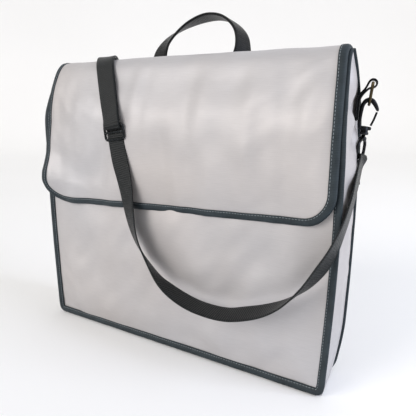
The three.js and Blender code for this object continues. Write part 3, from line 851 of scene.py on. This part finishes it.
MOUTH_TAPE = [
    (4.2, -3.1), (4.25, 3.0), (3.4, 3.1), (2.7, 2.95), (1.4, 3.3), (-1.2, 3.2), (-3.0, 2.4), (-4.1, 1.1),
    (-4.3, -0.4), (-4.0, -1.7), (-2.9, -2.8), (-1, -3.3), (2, -3.2),
]
mouth_lean = unit(np.array([11.7, 26.0]))
mouth_rows = wander(
    [(x, FRONT_Y + 18.3 - 4 * mouth_lean[0] + 2.4 * mouth_lean[1],
      MOUTH_Z - 4 * mouth_lean[1] - 2.4 * mouth_lean[0],
      0, -mouth_lean[1], mouth_lean[0]) for x in np.linspace(192, -192, 130)], 9.1)
mouth_tape = sweep("mouth_tape", mouth_rows, MOUTH_TAPE, TAPE_FINISH)
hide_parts("mouth_binding")
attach(mouth_tape, "bag")
stitches("mouth_stitches", [shifted(mouth_rows, STITCH_ACROSS, 3.05)], "bag")


# ---- Flap ----
# The flap is the same padded laminate, sewn in along the ridge and bound on its three free sides. It
# hangs in soft upright folds, its bottom runs lower at the left, and its left edge flares out.
FLAP_PROFILE = [
    (3.2, 356.6), (-2.5, 359.6), (-10.5, 360.2), (-19.5, 356.8), (-27, 348.5), (-35, 329.5), (-43, 309),
    (-48.6, 290), (-50.9, 268), (-51.2, 230), (-51, 196), (-50.4, 160),
]
FLAP_LEFT = -199
FLAP_RIGHT = 201
FLAP_LOW_LEFT = 171
FLAP_LOW_RIGHT = 187
FLAP_CORNER = 34
FLAP_THICK = 4.6
# How far the left edge stands in (+) or out (-) from the flap's middle, by height.
LEFT_FLARE = [
    (150, 1), (185, -5), (203, -9), (214, -8.5), (238, 0),
    (277, 6), (303, 4), (325, 3), (353, 5), (362, 4)]
profile_rows = through([(y, z, 0) for y, z in FLAP_PROFILE], 0.5)[:, :2]
profile_run = np.concatenate([[0], np.cumsum(np.linalg.norm(np.diff(profile_rows, axis=0), axis=1))])


def run_at(z):
    """The distance down the flap from the ridge to that height."""
    falling = profile_rows[:, 1][40:]
    return float(np.interp(-z, -falling, profile_run[40:]))


def flap_point(x, run):
    """A point of the flap's outer face, x across and run down from the ridge, in its hanging shape."""
    y = float(np.interp(run, profile_run, profile_rows[:, 0]))
    z = float(np.interp(run, profile_run, profile_rows[:, 1]))
    flare_z, flare_y = zip(*LEFT_FLARE)
    left = ease(1 - (x - FLAP_LEFT) / 85)
    hang = ease((run - 6) / 60)
    folds = 2.8 * noise.noise(Vector((x / 19, z / 150, 0.3))) + 2.6 * noise.noise(Vector((x / 48, z / 210, 4.1)))
    soft = 2.4 * noise.noise(Vector((x / 34, z / 40, 7.7)))
    y += left * float(np.interp(z, flare_z, flare_y)) + hang * (folds + soft)
    y += 1.5 * hang * (1 - left) * ease((run - 150) / 60) * (0.4 + 0.6 * math.sin(x / 47))
    z += 0.9 * noise.noise(Vector((x / 40, 0, 2.2))) - 1.2 * (x / 200) ** 2 * (1 - hang)
    widen = -3 + 7 * ease(run / 110) if x > 0 else 0
    return np.array([x + widen * x / FLAP_RIGHT, y, z])


def flap_row(x, run):
    """A point of the flap's outer face with its outward normal."""
    e = 1.5
    down = flap_point(x, run + e) - flap_point(x, max(run - e, 0))
    right = flap_point(x + e, run) - flap_point(x - e, run)
    return (*flap_point(x, run), *unit(np.cross(down, right)))


def flap_low(x, inset):
    """The height of the flap's bottom edge at x, with its round corners, inset from the true edge."""
    t = (x - FLAP_LEFT) / (FLAP_RIGHT - FLAP_LEFT)
    low = FLAP_LOW_LEFT + (FLAP_LOW_RIGHT - FLAP_LOW_LEFT) * t + inset
    radius = FLAP_CORNER - inset
    away = min(x - (FLAP_LEFT + inset), FLAP_RIGHT - inset - x)
    if away < radius:
        low += radius - math.sqrt(max(radius**2 - (radius - away) ** 2, 0))
    return low


FLAP_INSET = 4
half_turn = np.linspace(-1, 1, 73)
flap_columns = [
    (FLAP_LEFT + FLAP_RIGHT) / 2
    + (FLAP_RIGHT - FLAP_LEFT - 2 * FLAP_INSET) / 2 * (0.88 * t + 0.12 * math.sin(t * math.pi / 2))
    for t in half_turn]
FLAP_ROWS = 54
flap_points = [
    flap_point(x, run_at(flap_low(x, FLAP_INSET)) * i / FLAP_ROWS)
    for i in range(FLAP_ROWS + 1) for x in flap_columns]
wide = len(flap_columns)
flap_faces, flap_uvs = [], []
for i in range(FLAP_ROWS):
    for j in range(wide - 1):
        quad = [(i, j), (i + 1, j), (i + 1, j + 1), (i, j + 1)]
        flap_faces.append([a * wide + b for a, b in quad])
        flap_uvs.append(
            [(flap_columns[b], run_at(flap_low(flap_columns[b], FLAP_INSET)) * a / FLAP_ROWS) for a, b in quad])
flap = mesh_piece("flap_panel", flap_points, flap_faces, [SILVER_CLOTH, LINING_CLOTH], flap_uvs)
flap_border = [
    i * wide + j for i in range(FLAP_ROWS + 1) for j in range(wide)
    if i in (0, 1, FLAP_ROWS) or j in (0, wide - 1)]


flap_away = from_border(flap, flap_border)


def flap_limit(rest, moved):
    """The flap puffs by a millimetre, and tucks under its tape."""
    room = np.array([1.3 * ease((d - 4) / 14) for d in flap_away]) * MM
    shift = moved - rest
    size = np.linalg.norm(shift, axis=1)
    kept = rest + shift * (np.tanh(size / (6 * MM)) * room / np.maximum(size, 1e-9))[:, None]
    tuck = np.array([0.7 * ease((9 - d) / 6) for d in flap_away]) * MM
    kept[:, 1] += tuck
    return kept


settle(flap, flap_border, 0.9, 0.02, 16, flap_limit)
soften = flap.modifiers.new("round", "SUBSURF")
soften.levels = soften.render_levels = 1
quilt = flap.modifiers.new("laminate", "SOLIDIFY")
quilt.thickness = FLAP_THICK * MM
quilt.offset = -1
quilt.material_offset = 1
quilt.material_offset_rim = 0
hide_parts("flap_cover", "flap_padding", "flap_lining")
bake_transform(flap)

# The flap's tape is folded round the edge, down the left side, along the bottom and up the right side.
edge_in = TAPE_HALF
outline = [(FLAP_LEFT + edge_in, run) for run in np.linspace(5, run_at(FLAP_LOW_LEFT + FLAP_CORNER) - 1, 60)]
corner = FLAP_CORNER - edge_in
for x0, x1, low_z, turns in (
        (FLAP_LEFT + FLAP_CORNER, None, FLAP_LOW_LEFT + 1.4, range(180, 271, 9)),
        (None, FLAP_RIGHT - FLAP_CORNER, FLAP_LOW_RIGHT - 1.4, range(270, 361, 9))):
    middle = x0 if x0 is not None else x1
    if x0 is None:
        for x in np.linspace(FLAP_LEFT + FLAP_CORNER + 6, FLAP_RIGHT - FLAP_CORNER - 6, 80):
            outline.append((x, run_at(flap_low(x, edge_in))))
    for turn in turns:
        a = math.radians(turn)
        outline.append((middle + corner * math.cos(a), run_at(low_z + FLAP_CORNER + corner * math.sin(a))))
outline += [
    (FLAP_RIGHT - edge_in, run) for run in np.linspace(run_at(FLAP_LOW_RIGHT + FLAP_CORNER) - 1, 5, 60)]
flap_edge = np.array([flap_row(x, run) for x, run in outline])
flap_edge[:, :3] -= (FLAP_THICK / 2 + 0.1) * flap_edge[:, 3:6]
flap_edge = wander(through(flap_edge, 2.4), 12.9, 0.25)
FLAP_TAPE = [(a, b * 0.95) for a, b in MOUTH_TAPE]
flap_tape = sweep("flap_tape", flap_edge, FLAP_TAPE, TAPE_FINISH)
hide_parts("flap_binding")
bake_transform(flap_tape)
stitches("flap_stitches", [shifted(flap_edge, STITCH_ACROSS, 2.9)], "flap")


# ---- Closure strips ----
# Two strips of 25 mm hook-and-loop tape hold the flap: loops on the front panel, hooks under the flap.
def pile(name, dark, light, size, depth):
    """Hook-and-loop tape: a nap of small nylon loops or hooks."""
    material, tree, shader = surface(name, Roughness=0.85, Sheen_Weight=0.4)
    place = woven_map(tree)
    nap = grain(tree, place, size, 2)
    tree.links.new(between(tree, nap, dark, light), shader.inputs["Base Color"])
    raise_by(tree, shader, nap, depth, 1.0)
    return material


for name, node, body, facing, dark, light, size in (
        ("closure_loops", "closure_loop_strip", "bag", -1, "#1c1f21", "#3d4245", 1.2),
        ("closure_hooks", "closure_hook_strip", "flap", 1, "#15181a", "#33383b", 0.8)):
    low, high = (np.array(c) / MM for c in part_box(node))
    middle = (low + high) / 2
    rows = [(x, middle[1], middle[2], 0, facing, 0) for x in np.linspace(low[0] + 1, high[0] - 1, 60)]
    strip = sweep(name, rows, flat_section(high[2] - low[2] - 1, 1.5), pile(name + " nap", dark, light, size, 0.5))
    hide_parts(node)
    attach(strip, body)
    strip_half = (high[2] - low[2]) / 2 - 2.2
    stitches(
        name + "_stitches", [shifted(rows, side * strip_half, 0.85) for side in (-1, 1)], body)


# ---- Carry handle ----
# Doubled 25 mm nylon webbing. Its ends are sewn flat on the back panel, and it twists as it rises, so
# that its face lies on top at the middle of the arch.
HANDLE_WEBBING = nylon_webbing("black handle webbing", "#040405", "#17191b", 0.36)
HANDLE_MIDDLE = 2
HANDLE_FOOT = np.array([HANDLE_MIDDLE, 20.2, 333.5])
HANDLE_LEAN = math.radians(19.5)
handle_up = np.array([0, math.sin(HANDLE_LEAN), math.cos(HANDLE_LEAN)])
handle_front = np.array([0, -math.cos(HANDLE_LEAN), math.sin(HANDLE_LEAN)])
# The arch's middle line across and up its plane, with the webbing's turn from facing front, in degrees.
ARCH = [
    (-58, 0, 0), (-60, 14, 3), (-61.5, 28, 8), (-60.8, 40, 16), (-54, 53, 32), (-38.5, 66, 52), (-21, 75, 68),
    (-2, 80.2, 78), (14, 80.6, 80), (30, 76, 80), (44.5, 66, 78), (54.5, 53.5, 74), (59.3, 37, 68), (60, 20, 45),
    (59, 0, 8),
]


def on_arch(i):
    a, h, turn = ARCH[i]
    before, after = ARCH[max(i - 1, 0)], ARCH[min(i + 1, len(ARCH) - 1)]
    along = unit(np.array([after[0] - before[0], after[1] - before[1]], float))
    radial = np.array([-along[1], 0, 0]) + along[0] * handle_up
    face = math.cos(math.radians(turn)) * handle_front + math.sin(math.radians(turn)) * radial
    return (*(HANDLE_FOOT + np.array([a, 0, 0]) + h * handle_up), *face)


def sewn_end(a):
    """The end's line up the back panel, from its cut end to the ridge."""
    line = [(27.4, 294), (25.4, 305), (22.2, 318), (19.6, 328)]
    return [(HANDLE_MIDDLE + a, y + 1.2, z, 0, -0.96, -0.27) for y, z in line]


handle_rows = through(
    sewn_end(-58) + [on_arch(i) for i in range(len(ARCH))] + sewn_end(59)[::-1], 2.0)
handle = sweep("handle_webbing", handle_rows, flat_section(25, 3.2), HANDLE_WEBBING)
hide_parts("carry_handle", "handle_left_end", "handle_right_end")
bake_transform(handle)
box_lines = []
for a in (-58, 59):
    line = through(sewn_end(a), 2.0)
    run = line[(line[:, 2] > 296) & (line[:, 2] < 325)]
    left_line, right_line = shifted(run, -9.5, -1.75), shifted(run, 9.5, -1.75)
    across = np.linspace(0, 1, len(run))[:, None]
    box_lines += [
        left_line, right_line, [left_line[0], right_line[0]], [left_line[-1], right_line[-1]],
        left_line * (1 - across) + right_line * across, right_line * (1 - across) + left_line * across]
stitches("handle_box_stitches", box_lines, "bag")


# ---- Ring tabs, D-rings, snap hooks and eyes ----
# Each gusset has a webbing tab that holds an antique-brass D-ring. A gunmetal snap hook is clipped to it,
# with a sprung wire gate and a swivelling eye that the sling's end is sewn round.
# The second colours are painted highlights on convex spots, and the tone of small random marks.
HOOK_METAL = lacquered_wire("gunmetal plated casting", "#08080a", "#36373a", 0.28)
RING_METAL = lacquered_wire("antique brass wire", "#1a1711", "#5d523b", 0.3)
HOOK_ORIGIN = np.array([210.5, 15.8, 277.7])
HOOK_TURN = math.radians(12.4)
HOOK_TILT = math.radians(6)
hook_u = np.array([
    math.cos(HOOK_TILT) * math.cos(HOOK_TURN), math.cos(HOOK_TILT) * math.sin(HOOK_TURN), -math.sin(HOOK_TILT)])
hook_v = np.array([-math.sin(HOOK_TURN), math.cos(HOOK_TURN), 0])
hook_w = np.cross(hook_u, hook_v)
EYE_TURN = math.radians(-14)
BAR_W = 46.8


def hook_row(side, place, normal, size=1.0, turn=0.0):
    """A row at (u, v, w) in the right-hand hook's frame, turned about w and mirrored to the left."""
    rows = []
    for u, v, w in (place, normal):
        u, v = u * math.cos(turn) - v * math.sin(turn), u * math.sin(turn) + v * math.cos(turn)
        rows.append(u * hook_u + v * hook_v + w * hook_w)
    point = rows[0] + HOOK_ORIGIN
    mirror = np.array([side, 1, 1])
    return (*(point * mirror), *(rows[1] * mirror), size)


def turned_shape(side, name, profile, material, turn=0.0):
    """A round piece about the hook's axis, from (radius, w) up its side."""
    rows = [hook_row(side, (0, 0, w), (1, 0, 0), r, turn) for r, w in profile]
    return sweep(name, rows, round_section(1, 24), material)


HOOK_SPINE = [
    (-4.6, 2.0, 1.1), (-6, 6.5, 0.98), (-6.3, 12, 0.95), (-6.3, 18, 0.95), (-5.9, 24, 1.0), (-4.4, 28.2, 1.1),
    (-1, 30.7, 1.15), (2.6, 29.9, 1.2), (5.6, 27, 1.1), (7.8, 23.8, 0.95), (9.2, 21.3, 0.7), (9.7, 20.3, 0.25),
]
for side_x, name in ((1, "right"), (-1, "left")):
    tab_line = [
        (-9.7, 9), (-10.5, 16), (-11.4, 26), (-11.5, 31), (-9.5, 36), (-6.5, 40.5), (-4.8, 44.5), (-3.6, 48),
        (-1.4, 50.2), (1.4, 50.2), (3.5, 48.3), (3.6, 45.3), (1.9, 43.1), (-0.8, 42.3), (-3.0, 41.2), (-5.0, 39),
        (-7.9, 34.8), (-9.5, 30.5), (-9.5, 26), (-8.8, 16), (-8.1, 10)]
    tab_rows = []
    for i, (u, w) in enumerate(tab_line):
        before, after = tab_line[max(i - 1, 0)], tab_line[min(i + 1, len(tab_line) - 1)]
        along = unit(np.array([after[0] - before[0], after[1] - before[1]], float))
        tab_rows.append(hook_row(side_x, (u, 0, w), (-along[1], 0, along[0])))
    tab = sweep(
        f"{name}_tab_webbing", through(tab_rows, 1.0)[:, :6], flat_section(20, WEB_THICK), HANDLE_WEBBING)
    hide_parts(f"{name}_ring_tab")
    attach(tab, "bag")

    half, low_w = 12.5, 25.9
    ring_rows = [
        hook_row(side_x, (0, half * math.cos(a), BAR_W - (BAR_W - low_w) * math.sin(a)), (1, 0, 0))
        for a in np.linspace(0, math.pi, 25)]
    ring_rows += [
        hook_row(side_x, (0, v, BAR_W), (1, 0, 0)) for v in np.linspace(-half + 2, half - 2, 8)]
    ring = sweep(f"{name}_dee", ring_rows, round_section(1.5, 14), RING_METAL, closed=True)
    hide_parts(f"{name}_d_ring")
    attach(ring, f"{name}_ring")

    spine = through([
        hook_row(side_x, (u, 0, w), (0, 1, 0), size) for u, w, size in HOOK_SPINE], 0.9)
    shoulder = [hook_row(side_x, (u, 0, 2.4), (0, 1, 0), s) for u, s in (
        (-5.6, 0.6), (-5.2, 1.0), (-3, 1.1), (0, 1.15), (2, 1.1), (5, 0.95), (5.9, 0.8), (6.3, 0.4))]
    collar = [
        (0.2, -4.2), (4.0, -4.2), (4.6, -3.6), (4.6, -2.2), (4.0, -1.5),
        (3.7, -0.7), (3.7, 3), (2.9, 4.2), (0.2, 4.4)]
    hook = joined(
        f"{name}_snap_hook",
        sweep("spine", spine, round_section(1.95, 14), HOOK_METAL),
        sweep("shoulder", shoulder, round_section(1.9, 14), HOOK_METAL),
        turned_shape(side_x, "collar", collar, HOOK_METAL))
    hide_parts(f"{name}_hook")
    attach(hook, f"{name}_hook")

    gate = sweep(
        f"{name}_wire_gate",
        through([hook_row(side_x, (u, 0, w), (0, 1, 0)) for u, w in (
            (5.2, 5.4), (6.2, 8.5), (7.2, 12), (8.1, 16), (8.75, 19.4))], 1.0)[:, :6],
        round_section(1.1, 12), HOOK_METAL)
    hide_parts(f"{name}_hook_gate")
    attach(gate, f"{name}_gate")

    eye_line = [
        (-2, -8.2), (-6, -9.4), (-10, -11.2), (-12.8, -14.5), (-13.5, -18.5), (-13.5, -23),
        (-12.6, -26.6), (-10, -28), (-5, -28.1), (0, -28.1), (5, -28.1),
        (10, -28), (12.6, -26.6), (13.5, -23), (13.5, -18.5), (12.8, -14.5),
        (10, -11.2), (6, -9.4), (2, -8.2)]
    eye_rows = through([hook_row(side_x, (0, v, w), (1, 0, 0), 1, EYE_TURN) for v, w in eye_line], 1.2)
    neck = [(0.2, -10.6), (2.6, -10.4), (3.7, -9.6), (3.8, -7.6), (2.9, -6.4), (2, -5.8), (2, -4.5)]
    eye = joined(
        f"{name}_swivel_eye",
        sweep("loop", eye_rows, round_section(1.7, 12), HOOK_METAL),
        turned_shape(side_x, "neck", neck, HOOK_METAL, EYE_TURN))
    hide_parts(f"{name}_hook_eye")
    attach(eye, "bag")


# ---- Base board ----
# A loose 2 mm sheet of polyethylene keeps the bag's bottom flat. It lies inside, under the packs.
def sheet_plastic():
    material, tree, shader = surface("black sheet polyethylene", Roughness=0.45)
    place = add_node(tree, "ShaderNodeTexCoord").outputs["Object"]
    tree.links.new(between(tree, grain(tree, place, 30, 3), "#212427", "#2e3235"), shader.inputs["Base Color"])
    raise_by(tree, shader, grain(tree, place, 1.0, 2), 0.04, 0.5)
    return material


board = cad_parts["base_board"]
board.data.materials.clear()
board.data.materials.append(sheet_plastic())


# ---- Floor, light and backdrop ----
# A white paper sweep that rises behind the bag, a broad soft key from the front left, and a cooler lamp
# at the right that lights the gusset.
def paper_sweep():
    material, tree, shader = surface("white paper sweep", Roughness=0.85)
    place = add_node(tree, "ShaderNodeTexCoord").outputs["Object"]
    tree.links.new(between(tree, grain(tree, place, 900, 1), "#f2f2f2", "#f8f8f8"), shader.inputs["Base Color"])
    reach, start, bend, top = 9000, -3000, 900, 5000
    line = [(start, -0.6), (2200, -0.6)]
    line += [
        (2200 + bend * math.sin(a), -0.6 + bend * (1 - math.cos(a)))
        for a in np.linspace(0.1, math.pi / 2, 14)]
    line.append((2200 + bend, top))
    turn = math.radians(31.4)
    points = [
        (x * math.cos(turn) - y * math.sin(turn), x * math.sin(turn) + y * math.cos(turn), z)
        for y, z in line for x in (-reach, reach)]
    faces = [(2 * i, 2 * i + 1, 2 * i + 3, 2 * i + 2) for i in range(len(line) - 1)]
    mesh_piece("paper_sweep", points, faces, [material])


def lamp(name, kind, place, power, tint, **settings):
    data = bpy.data.lights.new(name, kind)
    data.energy = power
    data.color = colour(tint)[:3]
    for key, value in settings.items():
        setattr(data, key, value)
    made = bpy.data.objects.new(name, data)
    made.location = place
    made.rotation_euler = (Vector((0, 0, 0.2)) - Vector(place)).to_track_quat("-Z", "Y").to_euler()
    bpy.context.scene.collection.objects.link(made)


paper_sweep()
lamp("key", "SUN", (-0.9, -1.6, 1.0), 1.5, "#fffaf5", angle=math.radians(35))
lamp("side", "AREA", (1.5, 0.1, 0.9), 16, "#e6edff", shape="RECTANGLE", size=0.7, size_y=1.0)
world = bpy.data.worlds.new("studio")
world.use_nodes = True
world.node_tree.nodes["Background"].inputs["Color"].default_value = colour("#ffffff")
world.node_tree.nodes["Background"].inputs["Strength"].default_value = 0.68
bpy.context.scene.world = world
bpy.context.scene.view_settings.view_transform = "Standard"
